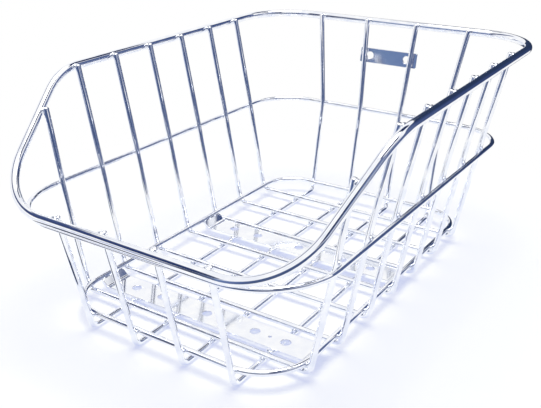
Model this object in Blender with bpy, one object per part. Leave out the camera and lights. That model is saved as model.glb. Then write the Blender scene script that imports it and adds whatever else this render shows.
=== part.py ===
"""Rear bicycle basket: bent wires welded inside two hoops and a heavy rim.

Metres, +Z up, +Y to the rear of the bicycle, +X to the rider's right.
The origin is on the ground, under the middle of the basket's outer box.
"""

import bmesh
import bpy
from math import atan2, ceil, cos, dist, pi, radians, sin, sqrt, tan
from mathutils import Quaternion, Vector

# Round stock, by diameter
WIRE_D = 0.0055
BASE_HOOP_D = 0.0055
MID_HOOP_D = 0.0050
RIM_D = 0.0080

# Air left at every welded contact, so that each piece stays its own solid
WELD_GAP = 0.0003

# Floor grid: cross wires lie on top of the long wires
CROSS_COUNT = 7
CROSS_PITCH = 0.0500
LONG_COUNT = 4
LONG_PITCH = 0.0513
WIRE_BEND_R = 0.0078
KINK_R = 0.0600
TIP_RISE = 0.0030

# Base hoop: sizes to the rod's centre line, heights above the cross wires
BASE_WIDTH = 0.2367
BASE_LENGTH = 0.3748
BASE_FRONT_R = 0.0470
BASE_REAR_R = 0.0380
BASE_LIFT = 0.0072

# Middle hoop: how far it stands out past the base hoop, and its height
MID_HEIGHT = 0.1110
MID_SIDE_FLARE = 0.0300
MID_FRONT_FLARE = 0.0325
MID_REAR_FLARE = 0.0300
MID_FRONT_R = 0.0645
MID_REAR_R = 0.0520

# Rim: nearly level round the rear and sides, then down to the low front
RIM_WIDTH = 0.3390
RIM_REAR_FLARE = 0.0190
RIM_REAR_HEIGHT = 0.2124
RIM_SIDE_HEIGHT = 0.2064
RIM_REAR_R = 0.0600
DIP_START = 0.0700
DIP_R = 0.0640
RIM_FRONT_WIDTH = 0.2826
RIM_FRONT_R = 0.0646

# Pitch of the long wires' rear arms at the rim: above the middle hoop they spread
REAR_TOP_PITCH = 0.0610

# Two drilled bars that bolt the floor to the carrier. Each lies flat on the
# long wires, and its ends turn up to meet the base hoop.
BAR_WIDTH = 0.0280
BAR_THICK = 0.0032
BAR_CORNER_R = 0.0020
BAR_END_RUN = 0.0088
BOLT_HOLE_D = 0.0090
BOLT_HOLE_X = (0.0525, 0.0840)
PILOT_HOLE_D = 0.0026
PILOT_HOLE_X = 0.0680
FRONT_BAR_BAY = 0
REAR_BAR_BAY = 3

# Bracket for a rear reflector, on the two inner rear arms
BRACKET_WIDTH = 0.0710
BRACKET_TALL = 0.0168
BRACKET_THICK = 0.0020
BRACKET_CORNER_R = 0.0015
BRACKET_HEIGHT = 0.1750
REFLECTOR_PITCH = 0.0460
REFLECTOR_HOLE_D = 0.0085

# Fineness of the solids, and how far apart two points have to be to differ
ARC_STEP = radians(12)
HOLE_SIDES = 20
WIRE_SIDES = 8
RIM_SIDES = 12
SAME = 1e-7

# Heights that follow from the stock, from the ground up
LONG_Z = WIRE_D / 2
CROSS_Z = LONG_Z + WIRE_D + WELD_GAP
BASE_Z = CROSS_Z + BASE_LIFT


def bend(corners, radii, closed):
    """Points along straight runs joined by round bends, one radius a corner."""
    corners = [Vector(corner) for corner in corners]
    count = len(corners)
    points = []
    for index, (corner, radius) in enumerate(zip(corners, radii)):
        if not closed and index in (0, count - 1):
            points.append(corner)
            continue
        back = (corners[index - 1] - corner).normalized()
        ahead = (corners[(index + 1) % count] - corner).normalized()
        turn = pi - back.angle(ahead)
        if turn < radians(0.2):
            points.append(corner)
            continue
        centre = corner + (back + ahead).normalized() * (radius / cos(turn / 2))
        spoke = corner + back * (radius * tan(turn / 2)) - centre
        axis = ahead.cross(back).normalized()
        steps = ceil(turn / ARC_STEP)
        for step in range(steps + 1):
            spin = Quaternion(axis, turn * step / steps)
            points.append(centre + spin @ spoke)
    return points


def ring(half_width, front_y, rear_y, front_r, rear_r, height):
    """Level hoop with round corners, seen from above."""
    corners = [
        (half_width, rear_y, height),
        (-half_width, rear_y, height),
        (-half_width, front_y, height),
        (half_width, front_y, height),
    ]
    return bend(corners, (rear_r, rear_r, front_r, front_r), True)


def crossing(path, across, value, along, side):
    """Where a closed path meets a plane on one side, and its direction there."""
    for start, end in zip(path, path[1:] + path[:1]):
        low, high = start[across] - value, end[across] - value
        if low * high > 0 or low == high:
            continue
        point = start.lerp(end, low / (low - high))
        if point[along] * side > 0:
            return point, (end - start).normalized()
    raise ValueError("the hoop does not reach this wire")


def seat(hoop_point, hoop_run, wire_run, along, side, clear):
    """The point beside a hoop where a wire's centre line keeps the clearance."""
    normal = wire_run.cross(hoop_run).normalized()
    point = hoop_point.copy()
    point[along] += side * clear / abs(normal[along])
    return point


def arm(across, value, along, side, floor_z, fan=1.0):
    """Corners of one upright arm, from the floor bend to the cut tip."""
    loops = (base_path, mid_path, rim_path)
    stock = (BASE_HOOP_D, MID_HOOP_D, RIM_D)
    values = (value, value, value * fan)
    inside = (1, -1, -1)
    hits = [crossing(loop, across, v, along, side) for loop, v in zip(loops, values)]
    runs = (hits[1][0] - hits[0][0], hits[1][0] - hits[0][0], hits[2][0] - hits[1][0])
    foot, waist, top = (
        seat(point, run, wire_run, along, side * way, (WIRE_D + rod) / 2 + WELD_GAP)
        for (point, run), wire_run, way, rod in zip(hits, runs, inside, stock)
    )
    floor = foot.lerp(waist, (floor_z - foot.z) / (waist.z - foot.z))
    rise = top - waist
    tip = top + rise * (TIP_RISE / rise.z)
    return [floor, waist, tip]


def low_front_arm(value):
    """The short arm under the low front: straight from the bend to its tip."""
    hoop_hits = [crossing(loop, 0, value, 1, -1) for loop in (base_path, mid_path)]
    run = hoop_hits[1][0] - hoop_hits[0][0]
    clear = ((WIRE_D + BASE_HOOP_D) / 2 + WELD_GAP, (WIRE_D + MID_HOOP_D) / 2 + WELD_GAP)
    foot = seat(*hoop_hits[0], run, 1, -1, clear[0])
    waist = seat(*hoop_hits[1], run, 1, 1, clear[1])
    rise = waist - foot
    floor = foot + rise * ((LONG_Z - foot.z) / rise.z)
    tip = foot + rise * ((rim_front_z + TIP_RISE - foot.z) / rise.z)
    return [floor, tip]


def steel(name, colour, roughness):
    material = bpy.data.materials.new(name)
    material.use_nodes = True
    shader = material.node_tree.nodes["Principled BSDF"]
    shader.inputs["Base Color"].default_value = (*colour, 1.0)
    shader.inputs["Metallic"].default_value = 1.0
    shader.inputs["Roughness"].default_value = roughness
    return material


def rod(name, path, diameter, sides, closed, material):
    """A round rod along a path, with flat cut ends where it is open."""
    curve = bpy.data.curves.new(name, "CURVE")
    curve.dimensions = "3D"
    curve.bevel_depth = diameter / 2
    curve.bevel_resolution = (sides - 4) // 2
    curve.use_fill_caps = True
    spline = curve.splines.new("POLY")
    spline.points.add(len(path) - 1)
    for point, place in zip(spline.points, path):
        point.co = (*place, 1.0)
    spline.use_cyclic_u = closed
    spline.use_smooth = True
    curve.materials.append(material)
    item = bpy.data.objects.new(name, curve)
    bpy.context.scene.collection.objects.link(item)
    return item


def circle(x, y, diameter):
    return [
        (x + diameter / 2 * cos(2 * pi * k / HOLE_SIDES), y + diameter / 2 * sin(2 * pi * k / HOLE_SIDES))
        for k in range(HOLE_SIDES)
    ]


def turn_up(shape, fold, angle):
    """Bend both ends of a flat bar up about a fold, its thickness kept."""
    for side in (1, -1):
        everything = shape.verts[:] + shape.edges[:] + shape.faces[:]
        bmesh.ops.bisect_plane(shape, geom=everything, plane_co=(side * fold, 0, 0), plane_no=(1, 0, 0))
    for vert in shape.verts:
        side = 1 if vert.co.x > 0 else -1
        past, z = abs(vert.co.x) - fold, vert.co.z
        if abs(past) < SAME:
            vert.co.x = side * (fold - z * tan(angle / 2))
        elif past > 0:
            vert.co.x = side * (fold + past * cos(angle) - z * sin(angle))
            vert.co.z = past * sin(angle) + z * cos(angle)


def flat_bar(name, length, width, thick, corner_r, holes, material, ends=None):
    """Flat bar with rounded corners. Holes are (x, diameter), ends (fold, angle)."""
    half_x, half_y = length / 2, width / 2
    corners = [(half_x, half_y, 0), (-half_x, half_y, 0), (-half_x, -half_y, 0), (half_x, -half_y, 0)]
    outlines = [[(p.x, p.y) for p in bend(corners, [corner_r] * 4, True)]]
    outlines += [circle(x, 0, diameter) for x, diameter in holes]
    shape = bmesh.new()
    edges = []
    for outline in outlines:
        verts = [shape.verts.new((x, y, -thick / 2)) for x, y in outline]
        edges += [shape.edges.new(pair) for pair in zip(verts, verts[1:] + verts[:1])]
    filled = bmesh.ops.triangle_fill(shape, use_beauty=True, use_dissolve=False, edges=edges)
    faces = [part for part in filled["geom"] if isinstance(part, bmesh.types.BMFace)]
    raised = bmesh.ops.extrude_face_region(shape, geom=faces)
    verts = [part for part in raised["geom"] if isinstance(part, bmesh.types.BMVert)]
    bmesh.ops.translate(shape, vec=(0, 0, thick), verts=verts)
    if ends:
        turn_up(shape, *ends)
    bmesh.ops.recalc_face_normals(shape, faces=shape.faces)
    mesh = bpy.data.meshes.new(name)
    shape.to_mesh(mesh)
    shape.free()
    mesh.set_sharp_from_angle(angle=radians(35))
    mesh.materials.append(material)
    item = bpy.data.objects.new(name, mesh)
    bpy.context.scene.collection.objects.link(item)
    return item


for old in list(bpy.data.objects):
    bpy.data.objects.remove(old)

# The base hoop's centre is at Y = 0 until everything is known
base_half = BASE_WIDTH / 2
base_front = -BASE_LENGTH / 2
base_rear = BASE_LENGTH / 2
mid_half = base_half + MID_SIDE_FLARE
mid_front = base_front - MID_FRONT_FLARE
mid_rear = base_rear + MID_REAR_FLARE
rim_rear = mid_rear + RIM_REAR_FLARE

# The low front of the rim sits on the middle hoop and touches the same arms
front_lean = MID_FRONT_FLARE - WIRE_D - (BASE_HOOP_D + MID_HOOP_D) / 2 - WELD_GAP * 2
front_run = Vector((0, -front_lean, MID_HEIGHT - BASE_Z)).normalized()
front_in = Vector((0, front_run.z, -front_run.y))
stack = (RIM_D + MID_HOOP_D) / 2 + WELD_GAP
step_out = (RIM_D - MID_HOOP_D) / 2
rim_front_point = Vector((0, mid_front, MID_HEIGHT))
rim_front_point += front_run * sqrt(stack ** 2 - step_out ** 2) - front_in * step_out
rim_front, rim_front_z = rim_front_point.y, rim_front_point.z

# The outer box's middle becomes Y = 0
outer_front = min(rim_front - RIM_D / 2, mid_front - MID_HOOP_D / 2)
outer_rear = rim_rear + RIM_D / 2
shift = -(outer_front + outer_rear) / 2
base_front, base_rear = base_front + shift, base_rear + shift
mid_front, mid_rear = mid_front + shift, mid_rear + shift
rim_front, rim_rear = rim_front + shift, rim_rear + shift

# Centre lines of the three closed rods
base_path = ring(base_half, base_front, base_rear, BASE_FRONT_R, BASE_REAR_R, BASE_Z)
mid_path = ring(mid_half, mid_front, mid_rear, MID_FRONT_R, MID_REAR_R, MID_HEIGHT)
rim_corners = []
for side in (1, -1):
    half = [
        (side * RIM_WIDTH / 2, rim_rear, RIM_REAR_HEIGHT),
        (side * RIM_WIDTH / 2, base_front + DIP_START, RIM_SIDE_HEIGHT),
        (side * RIM_FRONT_WIDTH / 2, rim_front, rim_front_z),
    ]
    rim_corners += half if side > 0 else half[::-1]
rim_radii = (RIM_REAR_R, DIP_R, RIM_FRONT_R, RIM_FRONT_R, DIP_R, RIM_REAR_R)
rim_path = bend(rim_corners, rim_radii, True)

polished = steel("polished_steel_rod", (0.74, 0.77, 0.83), 0.12)
plate_steel = steel("rolled_steel_plate", (0.70, 0.72, 0.80), 0.28)

rod("rim", rim_path, RIM_D, RIM_SIDES, True, polished)
rod("middle_hoop", mid_path, MID_HOOP_D, WIRE_SIDES, True, polished)
rod("base_hoop", base_path, BASE_HOOP_D, WIRE_SIDES, True, polished)

# Cross wires: across the floor and up both side walls
cross_y = [shift + (k - (CROSS_COUNT - 1) / 2) * CROSS_PITCH for k in range(CROSS_COUNT)]
for number, y in enumerate(cross_y, 1):
    right = arm(1, y, 0, 1, CROSS_Z)
    left = arm(1, y, 0, -1, CROSS_Z)
    wire = bend(left[::-1] + right, (0, KINK_R, WIRE_BEND_R, WIRE_BEND_R, KINK_R, 0), False)
    rod(f"cross_wire_{number}", wire, WIRE_D, WIRE_SIDES, False, polished)

# Long wires: along the floor, up the low front and up the rear wall
fan = REAR_TOP_PITCH / LONG_PITCH
long_x = [(k - (LONG_COUNT - 1) / 2) * LONG_PITCH for k in range(LONG_COUNT)]
for number, x in enumerate(long_x, 1):
    rear = arm(0, x, 1, 1, LONG_Z, fan)
    front = low_front_arm(x)
    wire = bend(front[::-1] + rear, (0, WIRE_BEND_R, WIRE_BEND_R, KINK_R, 0), False)
    rod(f"long_wire_{number}", wire, WIRE_D, WIRE_SIDES, False, polished)

# Bolt-down bars: the front one lies mid-bay, the rear one against a cross wire
bar_holes = [(side * x, BOLT_HOLE_D) for x in BOLT_HOLE_X for side in (1, -1)]
bar_holes += [(0.0, BOLT_HOLE_D), (PILOT_HOLE_X, PILOT_HOLE_D)]
front_bar_y = (cross_y[FRONT_BAR_BAY] + cross_y[FRONT_BAR_BAY + 1]) / 2
rear_bar_y = cross_y[REAR_BAR_BAY + 1] - WIRE_D / 2 - WELD_GAP - BAR_WIDTH / 2
bar_z = LONG_Z + WIRE_D / 2 + WELD_GAP + BAR_THICK / 2
for name, y in (("front_bolt_bar", front_bar_y), ("rear_bolt_bar", rear_bar_y)):
    sides = (y - BAR_WIDTH / 2, y + BAR_WIDTH / 2)
    hoop_x = min(crossing(base_path, 1, edge, 0, 1)[0].x for edge in sides)
    fold = hoop_x - BAR_END_RUN
    slope = atan2(BASE_Z - bar_z, BAR_END_RUN)
    end_length = dist((fold, bar_z), (hoop_x, BASE_Z)) - BASE_HOOP_D / 2 - WELD_GAP
    bar = flat_bar(name, (fold + end_length) * 2, BAR_WIDTH, BAR_THICK, BAR_CORNER_R,
                   bar_holes, plate_steel, (fold, slope))
    bar.location = (0, y, bar_z)

# Reflector bracket: flat against the outside of the two inner rear arms
inner = arm(0, long_x[LONG_COUNT // 2], 1, 1, LONG_Z, fan)
waist, tip = inner[1], inner[2]
touch = waist.lerp(tip, (BRACKET_HEIGHT - waist.z) / (tip.z - waist.z))
lean = atan2(tip.y - waist.y, tip.z - waist.z)
stand_off = WIRE_D / 2 + WELD_GAP + BRACKET_THICK / 2
reflector_holes = [(side * REFLECTOR_PITCH / 2, REFLECTOR_HOLE_D) for side in (1, -1)]
bracket = flat_bar("reflector_bracket", BRACKET_WIDTH, BRACKET_TALL, BRACKET_THICK,
                   BRACKET_CORNER_R, reflector_holes, plate_steel)
bracket.rotation_euler = (pi / 2 - lean, 0, 0)
bracket.location = (0, touch.y + cos(lean) * stand_off, touch.z - sin(lean) * stand_off)
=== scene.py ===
"""Rear bicycle basket, dressed for one photograph-like view in a plain studio."""

import bmesh
import bpy
from math import ceil, cos, pi, radians, sin, tan
from mathutils import Matrix, Quaternion, Vector
from mathutils.geometry import intersect_line_line, intersect_point_line


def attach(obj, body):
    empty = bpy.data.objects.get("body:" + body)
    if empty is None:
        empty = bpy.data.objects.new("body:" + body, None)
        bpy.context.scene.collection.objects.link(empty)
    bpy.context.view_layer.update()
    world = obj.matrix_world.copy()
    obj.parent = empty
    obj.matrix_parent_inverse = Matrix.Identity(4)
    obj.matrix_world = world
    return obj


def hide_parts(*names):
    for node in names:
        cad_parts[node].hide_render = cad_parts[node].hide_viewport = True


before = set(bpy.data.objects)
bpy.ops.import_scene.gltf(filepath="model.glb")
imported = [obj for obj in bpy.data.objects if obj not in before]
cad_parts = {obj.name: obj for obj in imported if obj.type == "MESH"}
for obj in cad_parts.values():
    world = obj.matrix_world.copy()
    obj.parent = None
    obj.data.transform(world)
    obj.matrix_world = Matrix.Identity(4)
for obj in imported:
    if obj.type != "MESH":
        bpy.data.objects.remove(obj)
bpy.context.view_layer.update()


# Camera: in front of the basket and to its right, looking down into it, which is
# where the photograph was taken from.
CAMERA_PLACE = (0.3761, -0.59707, 0.37471)
CAMERA_DIP, CAMERA_TURN = 23.468, 33.478
CAMERA_LENS = 51.22


def show(name, data):
    item = bpy.data.objects.new(name, data)
    bpy.context.scene.collection.objects.link(item)
    return item


camera_data = bpy.data.cameras.new("camera")
camera_data.lens = CAMERA_LENS
camera = show("camera", camera_data)
camera.location = CAMERA_PLACE
camera.rotation_euler = (radians(90 - CAMERA_DIP), 0, radians(CAMERA_TURN))
bpy.context.scene.camera = camera
bpy.context.scene.view_settings.view_transform = "Standard"


# Table top: a matt white sheet. Near the basket part of its white is its own glow,
# the bluer part, so that the shadow stays soft and turns lavender. Out where no
# shadow falls, all of it is.
TABLE_CORNERS = ((-1.00, -0.46), (1.30, -0.46), (0.46, 0.62), (-1.00, 0.62))
TABLE_Z = -0.0002
# Distances from the middle of the basket at which the shadow starts and ends fading
SHADOW_REACH, SHADOW_END = 0.32, 0.45


def linear(code):
    """An sRGB hex colour as linear red, green, blue and a full alpha."""
    parts = [int(code[k:k + 2], 16) / 255 for k in (1, 3, 5)]
    return (*[p / 12.92 if p <= 0.04045 else ((p + 0.055) / 1.055) ** 2.4 for p in parts], 1.0)


def add(tree, kind, sockets=None, **settings):
    """One node, with its settings, and its sockets given a value or a link."""
    new = tree.nodes.new(kind)
    for name, value in settings.items():
        setattr(new, name, value)
    for name, value in (sockets or {}).items():
        if isinstance(value, bpy.types.NodeSocket):
            tree.links.new(value, new.inputs[name])
        else:
            new.inputs[name].default_value = value
    return new


def new_material(name):
    material = bpy.data.materials.new(name)
    material.use_nodes = True
    material.node_tree.nodes.clear()
    return material, material.node_tree


def to_the_eye(tree):
    """1 on a ray to the camera, straight, by a mirror or through glass, and else 0."""
    path = add(tree, "ShaderNodeLightPath")
    seen = path.outputs["Is Camera Ray"]
    for ray in ("Is Glossy Ray", "Is Transmission Ray"):
        both = add(tree, "ShaderNodeMath", {0: seen, 1: path.outputs[ray]}, operation="MAXIMUM")
        seen = both.outputs[0]
    return seen


def plain_mesh(name, shape, material):
    """Close a bmesh and keep it as a mesh of one material."""
    mesh = bpy.data.meshes.new(name)
    shape.to_mesh(mesh)
    shape.free()
    mesh.materials.append(material)
    return mesh


paper, tree = new_material("matt_white_table_top")
place = add(tree, "ShaderNodeTexCoord")
away = add(tree, "ShaderNodeVectorMath", {0: place.outputs["Object"]}, operation="LENGTH")
far = add(tree, "ShaderNodeMapRange", {
    "Value": away.outputs["Value"], "From Min": SHADOW_REACH, "From Max": SHADOW_END,
}, interpolation_type="SMOOTHSTEP")
own = add(tree, "ShaderNodeMix", {
    "Factor": far.outputs["Result"], "A": linear("#9CA6D9"), "B": linear("#FFFFFF"),
}, data_type="RGBA")
rest = add(tree, "ShaderNodeMix", {
    "Factor": far.outputs["Result"], "A": linear("#D8D29E"), "B": linear("#000000"),
}, data_type="RGBA")
glow = add(tree, "ShaderNodeEmission", {
    "Color": own.outputs["Result"], "Strength": to_the_eye(tree)})
matt = add(tree, "ShaderNodeBsdfDiffuse", {"Color": rest.outputs["Result"]})
both = add(tree, "ShaderNodeAddShader", {0: glow.outputs[0], 1: matt.outputs[0]})
add(tree, "ShaderNodeOutputMaterial", {"Surface": both.outputs[0]})

shape = bmesh.new()
shape.faces.new([shape.verts.new((x, y, TABLE_Z)) for x, y in TABLE_CORNERS])
table = show("table_top", plain_mesh("table_top", shape, paper))


# Screens: a low and a high ring of painted cloth, out of the picture, in grey-blue
# and navy. Polished steel takes its dark lines from them, as bright work does in
# front of a photographer's black cards. The camera looks past them to the white.
SCREEN_RADIUS = 3.2
COLUMN_STEP = 2
# How far the cloth fades to white below its foot and above its top
LOW_FADE, HIGH_FADE = (0.15, 0.12), (0.08, 0.25)
# Direction in degrees, from behind the basket (0) by its right (90); then the foot,
# top and colour of the low screen, and of the high one, in white where there is none
SCREENS = (
    (-180, -1.1, 1.50, "#4E5E82", 1.8, 2.0, "#FFFFFF"),
    (-164, -1.1, 1.40, "#6072A0", 1.7, 1.9, "#FFFFFF"),
    (-153, -1.1, 0.95, "#7086AE", 1.2, 1.7, "#D8DEF0"),
    (-149, -1.1, 0.35, "#24304E", 0.5, 1.8, "#26345A"),
    (-143, -1.1, 0.05, "#B4BCD6", 0.6, 2.2, "#2E3C66"),
    (-136, -1.1, 0.05, "#E8ECF8", 1.2, 2.8, "#36446E"),
    (-120, -1.1, 0.10, "#F4F6FC", 1.6, 3.2, "#3C4A74"),
    (-98, -1.1, 0.10, "#F4F6FC", 2.4, 3.5, "#46547E"),
    (-72, -1.1, 0.20, "#EEF2FA", 2.5, 3.2, "#54628A"),
    (-60, -1.1, 0.20, "#EEF2FA", 2.6, 3.0, "#FFFFFF"),
    (-38, -1.1, 0.20, "#EEF2FA", 1.6, 1.8, "#FFFFFF"),
    (-30, -1.1, 0.90, "#34435F", 1.8, 2.0, "#FFFFFF"),
    (-20, -1.1, 1.55, "#313F5C", 2.2, 2.4, "#FFFFFF"),
    (-10, -1.1, 2.05, "#2C3A56", 2.4, 2.6, "#FFFFFF"),
    (6, -0.5, 2.30, "#2A3856", 2.8, 3.0, "#FFFFFF"),
    (16, -0.1, 2.50, "#2E3D60", 3.0, 3.2, "#FFFFFF"),
    (24, -0.1, 2.90, "#384872", 3.2, 3.4, "#FFFFFF"),
    (34, -0.3, 3.00, "#4E5E88", 3.4, 3.6, "#FFFFFF"),
    (46, -1.1, 2.60, "#5E6D94", 3.2, 3.4, "#FFFFFF"),
    (58, -1.1, 1.20, "#54648C", 1.8, 2.0, "#FFFFFF"),
    (72, -1.1, 0.90, "#5C6C94", 1.1, 1.7, "#5C6C94"),
    (78, 0.00, 0.80, "#5C6C94", 1.0, 1.7, "#5C6C94"),
    (94, 0.00, 0.55, "#5C6C94", 1.0, 1.8, "#62729A"),
    (104, -0.6, 0.75, "#4E5E86", 1.15, 2.4, "#7684AA"),
    (112, -1.1, 1.05, "#4A5A80", 1.4, 3.3, "#7482A8"),
    (132, -1.1, 1.45, "#4A5A80", 1.8, 3.9, "#34426A"),
    (140, -1.1, 1.50, "#4A5A80", 1.9, 2.1, "#FFFFFF"),
    (180, -1.1, 1.50, "#4E5E82", 1.8, 2.0, "#FFFFFF"),
)

# Painted cloth: matt, and glowing with its own colour alone, so that its tone in
# the steel is the one written here
cloth, tree = new_material("painted_cloth_screen")
paint = add(tree, "ShaderNodeAttribute", attribute_name="paint")
glow = add(tree, "ShaderNodeEmission", {"Color": paint.outputs["Color"]})
add(tree, "ShaderNodeOutputMaterial", {"Surface": glow.outputs[0]})

white = linear("#FFFFFF")
shape = bmesh.new()
paint_layer = shape.verts.layers.float_color.new("paint")
columns = []
for one, other in zip(SCREENS, SCREENS[1:]):
    for angle in range(one[0], other[0], COLUMN_STEP):
        share = (angle - one[0]) / (other[0] - one[0])
        low_foot, low_top, high_foot, high_top = [
            one[k] + (other[k] - one[k]) * share for k in (1, 2, 4, 5)]
        low, high = [[a + (b - a) * share for a, b in zip(linear(one[k]), linear(other[k]))]
                     for k in (3, 6)]
        x, y = SCREEN_RADIUS * sin(radians(angle)), SCREEN_RADIUS * cos(radians(angle))
        column = []
        for height, tone in (
            (low_foot - LOW_FADE[0], white), (low_foot, low),
            (low_top, low), (low_top + LOW_FADE[1], white),
            (high_foot - HIGH_FADE[0], white), (high_foot, high),
            (high_top, high), (high_top + HIGH_FADE[1], white),
        ):
            column.append(shape.verts.new((x, y, height)))
            column[-1][paint_layer] = tone
        columns.append(column)
for before, column in zip(columns[-1:] + columns, columns):
    for row in range(len(column) - 1):
        shape.faces.new((before[row], column[row], column[row + 1], before[row + 1]))
screens = show("screens", plain_mesh("screens", shape, cloth))
screens.visible_camera = False


# Cards: four flat navy cards of the same painted cloth, each given by its corners.
# Only the steel sees them.
CARD_COLOUR = "#26345A"
CARDS = (
    # Leans beside the camera
    ((0.811, -0.856, 0.717), (1.035, -0.524, 0.717),
     (0.829, -0.384, 1.003), (0.605, -0.716, 1.003)),
    # Lies before the basket, where there is only shade: a dark sheet that casts no shadow and
    # paints the lower dark line of the front rim, a painted reflection of the shade between
    # the rim and the middle hoop
    ((-0.05, -0.262, 0.0004), (-0.25, -0.257, 0.0004),
     (-0.25, -0.385, 0.0004), (-0.05, -0.302, 0.0004)),
    # Hang behind and beside the lamp, so that the rods stand out from above as well
    ((-1.000, 1.000, 2.200), (0.700, 1.000, 2.200),
     (0.700, 1.900, 2.200), (-1.000, 1.900, 2.200)),
    ((1.000, -0.900, 2.200), (1.900, -0.900, 2.200),
     (1.900, 0.700, 2.200), (1.000, 0.700, 2.200)),
)

shape = bmesh.new()
paint_layer = shape.verts.layers.float_color.new("paint")
for card in CARDS:
    shape.faces.new([shape.verts.new(corner) for corner in card])
for vert in shape.verts:
    vert[paint_layer] = linear(CARD_COLOUR)
cards = show("cards", plain_mesh("cards", shape, cloth))
cards.visible_camera = cards.visible_diffuse = cards.visible_shadow = False


# Light: one broad round lamp over the table, and a white room. The room looks
# fully white, and gives the table and the basket only part of that as light.
ROOM_LIGHT = 0.35
LAMP_WIDTH, LAMP_POWER = 1.3, 25
LAMP_PLACE, LAMP_AIM = Vector((0, 0.05, 1.9)), Vector((0, 0, 0.1))

world = bpy.data.worlds.new("studio")
bpy.context.scene.world = world
world.use_nodes = True
tree = world.node_tree
tree.nodes.clear()
level = add(tree, "ShaderNodeMapRange", {
    "Value": to_the_eye(tree), "To Min": ROOM_LIGHT, "To Max": 1.0})
room = add(tree, "ShaderNodeBackground", {
    "Color": linear("#FFFFFF"), "Strength": level.outputs["Result"]})
add(tree, "ShaderNodeOutputWorld", {"Surface": room.outputs[0]})

lamp_data = bpy.data.lights.new("broad_lamp", "AREA")
lamp_data.shape = "DISK"
lamp_data.size = LAMP_WIDTH
lamp_data.energy = LAMP_POWER
lamp = show("broad_lamp", lamp_data)
lamp.location = LAMP_PLACE
lamp.rotation_euler = (LAMP_AIM - LAMP_PLACE).to_track_quat("-Z", "Y").to_euler()


# Base hoop: a closed ring of round mild steel rod, bent and butt welded, that
# lies in the floor bends of the wires. All the rods are chromed together.
WIRE_D = 0.0055
WELD_GAP = 0.0003
LONG_Z = WIRE_D / 2
CROSS_Z = LONG_Z + WIRE_D + WELD_GAP
BASE_HOOP_D = 0.0055
BASE_LIFT = 0.0072
BASE_Z = CROSS_Z + BASE_LIFT
BASE_HALF = 0.2367 / 2
BASE_FRONT, BASE_REAR = -0.1942, 0.1806
BASE_FRONT_R, BASE_REAR_R = 0.0470, 0.0380
HOOP_SIDES = 20
ARC_STEP = radians(4)
ROD_CREASE = radians(50)

# Cut tips are tumbled round: how far back they narrow, at which shares of that
# length the path has points, and how wide the flat left at the end is
TIP_ROUND = 0.0014
TIP_SHARES = (0, 0.04, 0.14, 0.32, 0.6, 1)
TIP_FLAT = 0.4


def bend(corners, radii, closed):
    """Points along straight runs joined by round bends, one radius a corner."""
    corners = [Vector(corner) for corner in corners]
    count = len(corners)
    points = []
    for index, (corner, radius) in enumerate(zip(corners, radii)):
        if not closed and index in (0, count - 1):
            points.append(corner)
            continue
        back = (corners[index - 1] - corner).normalized()
        ahead = (corners[(index + 1) % count] - corner).normalized()
        turn = pi - back.angle(ahead)
        centre = corner + (back + ahead).normalized() * (radius / cos(turn / 2))
        spoke = corner + back * (radius * tan(turn / 2)) - centre
        axis = ahead.cross(back).normalized()
        steps = ceil(turn / ARC_STEP)
        points += [centre + Quaternion(axis, turn * step / steps) @ spoke
                   for step in range(steps + 1)]
    return points


def ring(half_width, front_y, rear_y, front_r, rear_r, height):
    """The path of a level hoop with round corners."""
    corners = [(half_width, rear_y, height), (-half_width, rear_y, height),
               (-half_width, front_y, height), (half_width, front_y, height)]
    return bend(corners, (rear_r, rear_r, front_r, front_r), True)


def shade_chrome(tree, tones, tone_pattern, roughness, roughness_pattern, relief):
    """Bright chrome, whose tone and roughness each drift with a pattern.

    The tones are two colours by their place in the pattern's range, and the
    roughness is given at the low and the high end of its own.
    """
    tone = add(tree, "ShaderNodeValToRGB", {"Fac": tone_pattern.outputs["Fac"]})
    for stop, (position, code) in zip(tone.color_ramp.elements, tones.items()):
        stop.position, stop.color = position, linear(code)
    gloss = add(tree, "ShaderNodeMapRange", {
        "Value": roughness_pattern.outputs["Fac"], "From Min": 0.3, "From Max": 0.7,
        "To Min": roughness[0], "To Max": roughness[1]})
    steel = add(tree, "ShaderNodeBsdfPrincipled", {
        "Base Color": tone.outputs["Color"], "Metallic": 1.0,
        "Roughness": gloss.outputs["Result"], "Normal": relief.outputs["Normal"]})
    add(tree, "ShaderNodeOutputMaterial", {"Surface": steel.outputs[0]})


# Bright chrome on drawn steel rod: near white, mirror-like, with faint lines left
# along it by the drawing die and a slow ripple left by the polishing belt. The
# lines are 0.5 mm apart, coarser than a die's, so that they show. The ripple is
# 11 mm long, and the haze of fine scratches comes in spots of 2.4 mm.
DIE_LINES, BELT_RIPPLE, SCRATCH_HAZE = 1900.0, 90.0, 420.0
chrome, tree = new_material("polished_chromed_steel_rod")
section = add(tree, "ShaderNodeAttribute", attribute_name="section")
place = add(tree, "ShaderNodeTexCoord")
die_lines = add(tree, "ShaderNodeTexNoise", {
    "Vector": section.outputs["Vector"], "Scale": DIE_LINES, "Detail": 2.0, "Roughness": 0.6})
ripple = add(tree, "ShaderNodeTexNoise", {
    "Vector": place.outputs["Object"], "Scale": BELT_RIPPLE, "Detail": 1.0})
haze = add(tree, "ShaderNodeTexNoise", {
    "Vector": place.outputs["Object"], "Scale": SCRATCH_HAZE, "Detail": 3.0})
lines = add(tree, "ShaderNodeBump", {
    "Height": die_lines.outputs["Fac"], "Strength": 0.06, "Distance": 0.00002})
waves = add(tree, "ShaderNodeBump", {
    "Height": ripple.outputs["Fac"], "Strength": 0.08, "Distance": 0.0003,
    "Normal": lines.outputs["Normal"]})
shade_chrome(tree, {0.35: "#EEF1F9", 0.65: "#FAFBFE"}, ripple, (0.03, 0.07), haze, waves)


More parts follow.
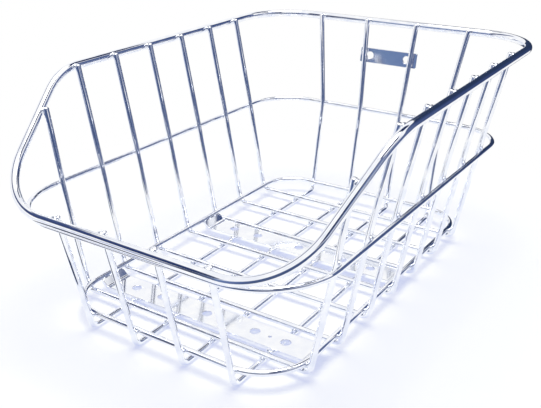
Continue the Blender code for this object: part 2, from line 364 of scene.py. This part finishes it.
def new_tree(name, inputs, output):
    """A Geometry Nodes tree with named inputs, and the identifier of each."""
    tree = bpy.data.node_groups.new(name, "GeometryNodeTree")
    sockets = tree.interface
    ids = {label: sockets.new_socket(label, in_out="INPUT", socket_type=kind).identifier
           for label, kind in inputs.items()}
    sockets.new_socket(output, in_out="OUTPUT", socket_type="NodeSocketGeometry")
    return tree, ids


# The tree that sweeps a round section along a path of points. Its "section"
# attribute is where a point lies on the cut face, so the die's lines follow the rod.
rod_tree, rod_ids = new_tree("rod_along_path", {
    "Path": "NodeSocketGeometry", "Diameter": "NodeSocketFloat", "Sides": "NodeSocketInt",
    "Tip Length": "NodeSocketFloat", "Tip Width": "NodeSocketFloat",
    "Finish": "NodeSocketMaterial"}, "Rod")
given = add(rod_tree, "NodeGroupInput")
line = add(rod_tree, "GeometryNodeMeshToCurve", {0: given.outputs["Path"]})
run = add(rod_tree, "GeometryNodeSplineParameter")
whole = add(rod_tree, "GeometryNodeSplineLength")
left = add(rod_tree, "ShaderNodeMath", {
    0: whole.outputs["Length"], 1: run.outputs["Length"]}, operation="SUBTRACT")
near = add(rod_tree, "ShaderNodeMath", {
    0: run.outputs["Length"], 1: left.outputs[0]}, operation="MINIMUM")
inward = add(rod_tree, "ShaderNodeMapRange", {
    "Value": near.outputs[0], "From Min": 0.0, "From Max": given.outputs["Tip Length"],
    "To Min": 1.0, "To Max": 0.0})
square = add(rod_tree, "ShaderNodeMath", {
    0: inward.outputs["Result"], 1: inward.outputs["Result"]}, operation="MULTIPLY")
flank = add(rod_tree, "ShaderNodeMath", {0: 1.0, 1: square.outputs[0]}, operation="SUBTRACT")
dome = add(rod_tree, "ShaderNodeMath", {0: flank.outputs[0]}, operation="SQRT")
slim = add(rod_tree, "ShaderNodeMapRange", {
    "Value": dome.outputs[0], "To Min": given.outputs["Tip Width"], "To Max": 1.0})
sized = add(rod_tree, "GeometryNodeSetCurveRadius", {
    0: line.outputs[0], "Radius": slim.outputs["Result"]})
half = add(rod_tree, "ShaderNodeMath", {
    0: given.outputs["Diameter"], 1: 0.5}, operation="MULTIPLY")
disc = add(rod_tree, "GeometryNodeCurvePrimitiveCircle", {
    "Resolution": given.outputs["Sides"], "Radius": half.outputs[0]})
spot = add(rod_tree, "GeometryNodeInputPosition")
kept = add(rod_tree, "GeometryNodeCaptureAttribute", {0: disc.outputs["Curve"]})
kept.capture_items.new("VECTOR", "Spot")
rod_tree.links.new(spot.outputs[0], kept.inputs["Spot"])
radius = add(rod_tree, "GeometryNodeInputRadius")
swept = add(rod_tree, "GeometryNodeCurveToMesh", {
    "Curve": sized.outputs[0], "Profile Curve": kept.outputs[0],
    "Scale": radius.outputs[0], "Fill Caps": True})
marked = add(rod_tree, "GeometryNodeStoreNamedAttribute", {
    "Geometry": swept.outputs[0], "Name": "section", "Value": kept.outputs["Spot"],
}, data_type="FLOAT_VECTOR", domain="POINT")
smooth = add(rod_tree, "GeometryNodeSetShadeSmooth", {0: marked.outputs[0]})
real = add(rod_tree, "GeometryNodeRealizeInstances", {0: smooth.outputs[0]})
done = add(rod_tree, "GeometryNodeSetMaterial", {
    0: real.outputs[0], "Material": given.outputs["Finish"]})
add(rod_tree, "NodeGroupOutput", {0: done.outputs[0]})


def bake(name, start, tree, ids, values):
    """Run a node tree on a start mesh, with values by input name, and keep its plain mesh."""
    item = show(name, start)
    maker = item.modifiers.new("maker", "NODES")
    maker.node_group = tree
    for label, value in values.items():
        maker[ids[label]] = value
    bpy.context.view_layer.update()
    shown = item.evaluated_get(bpy.context.evaluated_depsgraph_get())
    mesh = bpy.data.meshes.new_from_object(shown)
    item.modifiers.remove(maker)
    item.data = mesh
    mesh.name = name
    return item


def close_tips(points):
    """A path with close points at both ends, where the cut tips are round."""
    ends = []
    for end, other in ((points[0], points[1]), (points[-1], points[-2])):
        inward = (other - end).normalized()
        ends.append([end + inward * (TIP_ROUND * share) for share in TIP_SHARES])
    return ends[0] + points[1:-1] + ends[1][::-1]


def rod(name, points, diameter, sides, closed):
    """A chromed rod that stands for the CAD node of its name."""
    if not closed:
        points = close_tips(points)
    count = len(points)
    start = bpy.data.meshes.new(name + "_path")
    edges = [(k, (k + 1) % count) for k in range(count if closed else count - 1)]
    start.from_pydata(points, edges, [])
    item = bake(name + "_rod", start, rod_tree, rod_ids, {
        "Diameter": diameter, "Sides": sides, "Tip Length": TIP_ROUND,
        "Tip Width": 1.0 if closed else TIP_FLAT, "Finish": chrome})
    item.data.set_sharp_from_angle(angle=ROD_CREASE)
    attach(item, "root")
    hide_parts(name)


base_path = ring(BASE_HALF, BASE_FRONT, BASE_REAR, BASE_FRONT_R, BASE_REAR_R, BASE_Z)
rod("base_hoop", base_path, BASE_HOOP_D, HOOP_SIDES, True)


# Middle hoop: a thinner closed ring of rod, half way up and wider than the base,
# welded round the outside of all the upright wires.
MID_HOOP_D = 0.0050
MID_Z = 0.1110
MID_FLARE, MID_FRONT_FLARE = 0.0300, 0.0325
MID_HALF = BASE_HALF + MID_FLARE
MID_FRONT, MID_REAR = BASE_FRONT - MID_FRONT_FLARE, BASE_REAR + MID_FLARE
MID_FRONT_R, MID_REAR_R = 0.0645, 0.0520

mid_path = ring(MID_HALF, MID_FRONT, MID_REAR, MID_FRONT_R, MID_REAR_R, MID_Z)
rod("middle_hoop", mid_path, MID_HOOP_D, HOOP_SIDES, True)


# Rim: the heaviest rod, nearly level round the rear and sides, then swept down
# to a low front where it lies on the middle hoop. Bent in one plane at a time.
RIM_D = 0.0080
RIM_SIDES = 28
# The right half's corners, from the rear, and the radius of the bend at each
RIM_CORNERS = ((0.1695, 0.2296, 0.2124), (0.1695, -0.1242, 0.2064), (0.1413, -0.2296, 0.11715))
RIM_BENDS = (0.0600, 0.0640, 0.0646)

right_half = list(zip(RIM_CORNERS, RIM_BENDS))
left_half = [((-x, y, z), radius) for (x, y, z), radius in right_half[::-1]]
rim_path = bend(*zip(*right_half, *left_half), True)
rod("rim", rim_path, RIM_D, RIM_SIDES, True)


# Cross wires: seven drawn wires, each bent up at both sides of the floor, welded
# outside the base hoop and inside the middle hoop and the rim, and cut off there.
WIRE_SIDES = 16
FLOOR_BEND_R = 0.0078
KINK_R = 0.0600
# Each row gives Y, then X at the floor bend, X at the middle hoop, X and Z at the tip
CROSS_WIRES = (
    (-0.1568, 0.12224, 0.14251, 0.15406, 0.18180),
    (-0.1068, 0.12306, 0.14253, 0.16273, 0.20916),
    (-0.0568, 0.12306, 0.14253, 0.16290, 0.21054),
    (-0.0068, 0.12306, 0.14253, 0.16289, 0.21139),
    (0.0432, 0.12306, 0.14253, 0.16289, 0.21224),
    (0.0932, 0.12306, 0.14253, 0.16289, 0.21309),
    (0.1432, 0.12303, 0.14253, 0.16289, 0.21394),
)

cross_paths = []
for number, (y, floor_x, waist_x, tip_x, tip_z) in enumerate(CROSS_WIRES, 1):
    right = [(floor_x, y, CROSS_Z), (waist_x, y, MID_Z), (tip_x, y, tip_z)]
    left = [(-x, y, z) for x, y, z in right[::-1]]
    path = bend(left + right, (0, KINK_R, FLOOR_BEND_R, FLOOR_BEND_R, KINK_R, 0), False)
    cross_paths.append(path)
    rod(f"cross_wire_{number}", path, WIRE_D, WIRE_SIDES, False)


# Long wires: four drawn wires under the cross wires, bent up at the front to the
# low rim and at the rear to the high one, where they spread a little.
FRONT_TIP_Z = 0.12015
REAR_BEND_Y, REAR_WAIST_Y = 0.18421, 0.20478
REAR_TIP_Y, REAR_TIP_Z = 0.22295, 0.21540
# Each row gives X, Y at the front floor bend, Y at the front tip, X at the rear tip
LONG_WIRES = (
    (-0.07695, -0.19695, -0.22284, -0.09193),
    (-0.02565, -0.19753, -0.22281, -0.03064),
    (0.02565, -0.19753, -0.22281, 0.03064),
    (0.07695, -0.19695, -0.22284, 0.09193),
)

long_paths = []
for number, (x, floor_y, front_y, rear_x) in enumerate(LONG_WIRES, 1):
    corners = [(x, front_y, FRONT_TIP_Z), (x, floor_y, LONG_Z), (x, REAR_BEND_Y, LONG_Z),
               (x, REAR_WAIST_Y, MID_Z), (rear_x, REAR_TIP_Y, REAR_TIP_Z)]
    path = bend(corners, (0, FLOOR_BEND_R, FLOOR_BEND_R, KINK_R, 0), False)
    long_paths.append(path)
    rod(f"long_wire_{number}", path, WIRE_D, WIRE_SIDES, False)


# Bolt bars: two flat bars, 28 by 3.2 mm, punched for carrier bolts. They lie on
# the long wires, and their ends are bent up and welded to the base hoop.
BAR_WIDTH = 0.0280
BAR_THICK = 0.0032
BAR_CORNER_R = 0.0020
BAR_Z = WIRE_D + WELD_GAP + BAR_THICK / 2
BAR_Y = {"front_bolt_bar": -0.1318, "rear_bolt_bar": 0.02615}
BOLT_HOLES = (-0.0840, -0.0525, 0.0, 0.0525, 0.0840)
BOLT_HOLE_D = 0.0090
# The small pilot hole's place and diameter
PILOT_HOLE = (0.0680, 0.0026)
HOLE_SIDES = 48
# From the middle of the bar to the corner of its fold, and on to its end, and the
# angle that the end is turned up through
BAR_FOLD, BAR_END = 0.10955, 0.00908
BAR_SLOPE = 0.75917
BAR_FOLD_R = 0.0045
FOLD_STEPS = 6
FOLD_EDGE = 0.0003
# Edges sharper than this are worn round
WORN_FROM = radians(60)
WORN_EDGE, WORN_STEPS = 0.00035, 3
PLATE_CREASE = radians(14)

# Polished and chromed rolled bar: the same white metal with a softer mirror, and
# the faint lengthwise grain that rolling leaves under the chrome. The grain is 1 mm
# wide, coarser than the real one, so that it shows, and 40 mm long, and the tone
# drifts over 14 mm.
GRAIN = (25.0, 900.0, 900.0)
TONE_DRIFT = 70.0
plate_chrome, tree = new_material("polished_chromed_rolled_bar")
place = add(tree, "ShaderNodeTexCoord")
stretched = add(tree, "ShaderNodeMapping", {"Vector": place.outputs["Object"], "Scale": GRAIN})
grain = add(tree, "ShaderNodeTexNoise", {
    "Vector": stretched.outputs[0], "Scale": 1.0, "Detail": 3.0})
cloud = add(tree, "ShaderNodeTexNoise", {
    "Vector": place.outputs["Object"], "Scale": TONE_DRIFT, "Detail": 2.0})
lines = add(tree, "ShaderNodeBump", {
    "Height": grain.outputs["Fac"], "Strength": 0.10, "Distance": 0.000004})
shade_chrome(tree, {0.35: "#F3F5FB", 0.65: "#FBFCFE"}, cloud, (0.05, 0.08), grain, lines)


def circle(x, diameter):
    """The outline of a round hole on the bar's middle line."""
    turns = [2 * pi * k / HOLE_SIDES for k in range(HOLE_SIDES)]
    return [(x + diameter / 2 * cos(turn), diameter / 2 * sin(turn)) for turn in turns]


def flat_bar(name, length, width, thick, corner_r, holes, place, fold=None):
    """A punched flat bar with worn edges, its ends turned up where a fold is given."""
    half_x, half_y = length / 2, width / 2
    corners = [(half_x, half_y, 0), (-half_x, half_y, 0),
               (-half_x, -half_y, 0), (half_x, -half_y, 0)]
    outlines = [[(p.x, p.y) for p in bend(corners, [corner_r] * 4, True)]]
    outlines += [circle(x, diameter) for x, diameter in holes]
    shape = bmesh.new()
    edges = []
    for outline in outlines:
        verts = [shape.verts.new((x, y, -thick / 2)) for x, y in outline]
        edges += [shape.edges.new(pair) for pair in zip(verts, verts[1:] + verts[:1])]
    filled = bmesh.ops.triangle_fill(shape, use_beauty=True, use_dissolve=False, edges=edges)
    faces = [part for part in filled["geom"] if isinstance(part, bmesh.types.BMFace)]
    raised = bmesh.ops.extrude_face_region(shape, geom=faces)
    verts = [part for part in raised["geom"] if isinstance(part, bmesh.types.BMVert)]
    bmesh.ops.translate(shape, vec=(0, 0, thick), verts=verts)
    bmesh.ops.recalc_face_normals(shape, faces=shape.faces)
    worn = [edge for edge in shape.edges
            if edge.is_manifold and edge.calc_face_angle() > WORN_FROM]
    bmesh.ops.bevel(shape, geom=worn, offset=WORN_EDGE, segments=WORN_STEPS, profile=0.5,
                    affect="EDGES")
    if fold:
        turn_up(shape, *fold)
    mesh = plain_mesh(name, shape, plate_chrome)
    mesh.transform(place)
    mesh.shade_smooth()
    mesh.set_sharp_from_angle(angle=PLATE_CREASE)
    item = show(name + "_plate", mesh)
    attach(item, "root")
    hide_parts(name)


def turn_up(shape, start, radius, angle):
    """Roll both ends of a flat bar up through an angle, from a start distance."""
    cuts = [start + radius * angle * step / FOLD_STEPS for step in range(FOLD_STEPS + 1)]
    # A cut just outside the fold at each end keeps the soft shading off the flats
    for cut in (start - FOLD_EDGE, *cuts, cuts[-1] + FOLD_EDGE):
        for side in (1, -1):
            everything = shape.verts[:] + shape.edges[:] + shape.faces[:]
            bmesh.ops.bisect_plane(shape, geom=everything, plane_no=(1, 0, 0),
                                   plane_co=(side * cut, 0, 0))
    for vert in shape.verts:
        side = 1 if vert.co.x > 0 else -1
        past, z = abs(vert.co.x) - start, vert.co.z
        if past > 0:
            turned = min(past / radius, angle)
            straight = max(past - radius * angle, 0)
            vert.co.x = side * (start + (radius - z) * sin(turned) + straight * cos(turned))
            vert.co.z = radius - (radius - z) * cos(turned) + straight * sin(turned)


bar_holes = [(x, BOLT_HOLE_D) for x in BOLT_HOLES] + [PILOT_HOLE]
fold_start = BAR_FOLD - BAR_FOLD_R * tan(BAR_SLOPE / 2)
# A round fold takes less metal than the sharp corner that its sizes are given to
saved = 2 * BAR_FOLD_R * tan(BAR_SLOPE / 2) - BAR_FOLD_R * BAR_SLOPE
cut_length = (BAR_FOLD + BAR_END - saved) * 2
for name, y in BAR_Y.items():
    flat_bar(name, cut_length, BAR_WIDTH, BAR_THICK, BAR_CORNER_R, bar_holes,
             Matrix.Translation((0, y, BAR_Z)), (fold_start, BAR_FOLD_R, BAR_SLOPE))


# Reflector bracket: a small punched plate, welded flat on the outside of the two
# inner rear arms, so it leans back with them.
BRACKET_WIDTH, BRACKET_TALL, BRACKET_THICK = 0.0710, 0.0168, 0.0020
BRACKET_CORNER_R = 0.0015
# The reflector's two screw holes, each by its place and diameter
BRACKET_HOLES = ((0.0230, 0.0085), (-0.0230, 0.0085))
BRACKET_PLACE = Vector((0, 0.21991, 0.174306))
BRACKET_LEAN = 0.1723

stood_up = Matrix.Rotation(pi / 2 - BRACKET_LEAN, 4, "X")
flat_bar("reflector_bracket", BRACKET_WIDTH, BRACKET_TALL, BRACKET_THICK, BRACKET_CORNER_R,
         BRACKET_HOLES, Matrix.Translation(BRACKET_PLACE) @ stood_up)


# Welds: where two pieces touch, current through the joint melts a small nugget,
# and pressure squeezes its edge out as a low bead. Nothing is added but heat.
# A bead's half sizes are given along its wire, beside it, and through the joint.
HOOP_WELD = (0.0026, 0.0024, 0.0011)
RIM_WELD = (0.0029, 0.0039, 0.0021)
FLOOR_WELD = (0.0026, 0.0026, 0.0011)
BAR_WELD = (0.0022, 0.0028, 0.0009)
BAR_END_WELD = (0.0042, 0.0019, 0.0012)
BRACKET_WELD = (0.0026, 0.0024, 0.0009)
# Slack on the distance at which two rods count as touching, and where the beads of
# the flat pieces lie
WELD_REACH = 0.0006
BAR_WELD_INSET = 0.0006
BAR_END_WELDS = (-0.0095, 0.0, 0.0095)
BRACKET_WELD_X, BRACKET_WELDS = 0.02865, (-0.0045, 0.0045)
# No two beads are alike: each size differs by up to this share
BEAD_SPREAD = 0.14

# Chromed weld bead: squeezed-out metal that no belt reaches, so the chrome over it
# is greyer, duller in its hollows, and pitted about every 0.6 mm
BEAD_PITS = 1600.0
weld_metal, tree = new_material("chromed_weld_bead")
place = add(tree, "ShaderNodeTexCoord")
pits = add(tree, "ShaderNodeTexNoise", {
    "Vector": place.outputs["Object"], "Scale": BEAD_PITS, "Detail": 3.0})
bumps = add(tree, "ShaderNodeBump", {
    "Height": pits.outputs["Fac"], "Strength": 0.15, "Distance": 0.0001})
shade_chrome(tree, {0.38: "#D9DEE9", 0.62: "#F6F8FC"}, pits, (0.22, 0.08), pits, bumps)


def meetings(path_a, path_b, reach):
    """Where two closed or open paths cross within reach, with the direction of the first."""
    found = []
    for a0, a1 in zip(path_a, path_a[1:] + path_a[:1]):
        for b0, b1 in zip(path_b, path_b[1:] + path_b[:1]):
            span = (a1 - a0).length + (b1 - b0).length + reach
            pair = (a0 - b0).length < span and intersect_line_line(a0, a1, b0, b1)
            if not pair or (pair[0] - pair[1]).length > reach:
                continue
            shares = (intersect_point_line(pair[0], a0, a1)[1],
                      intersect_point_line(pair[1], b0, b1)[1])
            if all(0 <= share < 1 for share in shares):
                found.append((pair[0], pair[1], (a1 - a0).normalized()))
    return found


spots = []


def weld(place, across, along, size):
    spots.append((place, across.normalized(), along.normalized(), size))


def weld_rods(path, radius, other, other_radius, size):
    """A bead between the skins of two rods wherever they cross."""
    reach = radius + other_radius + WELD_REACH
    for on_path, on_other, along in meetings(path, other, reach):
        across = (on_other - on_path).normalized()
        weld(on_path + across * (radius + WELD_GAP / 2), across, along, size)


up, rearward = Vector((0, 0, 1)), Vector((0, 1, 0))
rings = ((base_path, BASE_HOOP_D / 2, HOOP_WELD), (mid_path, MID_HOOP_D / 2, HOOP_WELD),
         (rim_path, RIM_D / 2, RIM_WELD))
for path in cross_paths + long_paths:
    for ring_path, radius, size in rings:
        weld_rods(path, WIRE_D / 2, ring_path, radius, size)
for path in cross_paths:
    for other in long_paths:
        weld_rods(path, WIRE_D / 2, other, WIRE_D / 2, FLOOR_WELD)
for y in BAR_Y.values():
    for x, *_ in LONG_WIRES:
        for side in (1, -1):
            edge_y = y + side * (BAR_WIDTH / 2 - BAR_WELD_INSET)
            weld(Vector((x, edge_y, WIRE_D + WELD_GAP / 2)), up, rearward, BAR_WELD)
    for side in (1, -1):
        outward = Vector((side * cos(BAR_SLOPE), 0, sin(BAR_SLOPE)))
        for step in BAR_END_WELDS:
            centre = Vector((side * BASE_HALF, y + step, BASE_Z))
            weld(centre - outward * (BASE_HOOP_D / 2), outward, rearward, BAR_END_WELD)
lift = Vector((0, sin(BRACKET_LEAN), cos(BRACKET_LEAN)))
out = Vector((0, cos(BRACKET_LEAN), -sin(BRACKET_LEAN)))
inner_face = BRACKET_PLACE - out * (BRACKET_THICK / 2 + WELD_GAP / 2)
for side in (1, -1):
    for step in BRACKET_WELDS:
        weld(inner_face + Vector((side * BRACKET_WELD_X, 0, 0)) + lift * step,
             out, lift, BRACKET_WELD)

# The tree that sets one squeezed-out bead at each spot, turned to its joint
bead_tree, bead_ids = new_tree("beads_at_joints", {
    "Spots": "NodeSocketGeometry", "Crust Depth": "NodeSocketFloat",
    "Crust Scale": "NodeSocketFloat", "Seed": "NodeSocketInt",
    "Finish": "NodeSocketMaterial"}, "Beads")
given = add(bead_tree, "NodeGroupInput")
across, along, size = [
    add(bead_tree, "GeometryNodeInputNamedAttribute", {"Name": name}, data_type="FLOAT_VECTOR")
    for name in ("across", "along", "size")]
turn = add(bead_tree, "FunctionNodeAxesToRotation", {
    "Primary Axis": across.outputs[0], "Secondary Axis": along.outputs[0],
}, primary_axis="Z", secondary_axis="X")
odd = add(bead_tree, "FunctionNodeRandomValue", {
    "Min": (1 - BEAD_SPREAD,) * 3, "Max": (1 + BEAD_SPREAD,) * 3,
    "Seed": given.outputs["Seed"]}, data_type="FLOAT_VECTOR")
big = add(bead_tree, "ShaderNodeVectorMath", {
    0: size.outputs[0], 1: odd.outputs[0]}, operation="MULTIPLY")
drop = add(bead_tree, "GeometryNodeMeshIcoSphere", {"Radius": 1.0, "Subdivisions": 3})
placed = add(bead_tree, "GeometryNodeInstanceOnPoints", {
    "Points": given.outputs["Spots"], "Instance": drop.outputs["Mesh"],
    "Rotation": turn.outputs[0], "Scale": big.outputs[0]})
real = add(bead_tree, "GeometryNodeRealizeInstances", {0: placed.outputs[0]})
spot = add(bead_tree, "GeometryNodeInputPosition")
facing = add(bead_tree, "GeometryNodeInputNormal")
crust = add(bead_tree, "ShaderNodeTexNoise", {
    "Vector": spot.outputs[0], "Scale": given.outputs["Crust Scale"], "Detail": 1.0})
swell = add(bead_tree, "ShaderNodeMath", {0: crust.outputs["Fac"], 1: -0.5}, operation="ADD")
depth = add(bead_tree, "ShaderNodeMath", {
    0: swell.outputs[0], 1: given.outputs["Crust Depth"]}, operation="MULTIPLY")
push = add(bead_tree, "ShaderNodeVectorMath", {
    0: facing.outputs[0], "Scale": depth.outputs[0]}, operation="SCALE")
moved = add(bead_tree, "GeometryNodeSetPosition", {0: real.outputs[0], "Offset": push.outputs[0]})
smooth = add(bead_tree, "GeometryNodeSetShadeSmooth", {0: moved.outputs[0]})
done = add(bead_tree, "GeometryNodeSetMaterial", {
    0: smooth.outputs[0], "Material": given.outputs["Finish"]})
add(bead_tree, "NodeGroupOutput", {0: done.outputs[0]})

spot_mesh = bpy.data.meshes.new("weld_spots")
spot_mesh.from_pydata([place for place, *_ in spots], [], [])
for index, name in enumerate(("across", "along", "size"), 1):
    kept = spot_mesh.attributes.new(name, "FLOAT_VECTOR", "POINT")
    kept.data.foreach_set("vector", [part for spot in spots for part in spot[index]])
beads = bake("weld_beads", spot_mesh, bead_tree, bead_ids, {
    "Crust Depth": 0.0004, "Crust Scale": 900.0, "Seed": 7, "Finish": weld_metal})
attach(beads, "root")
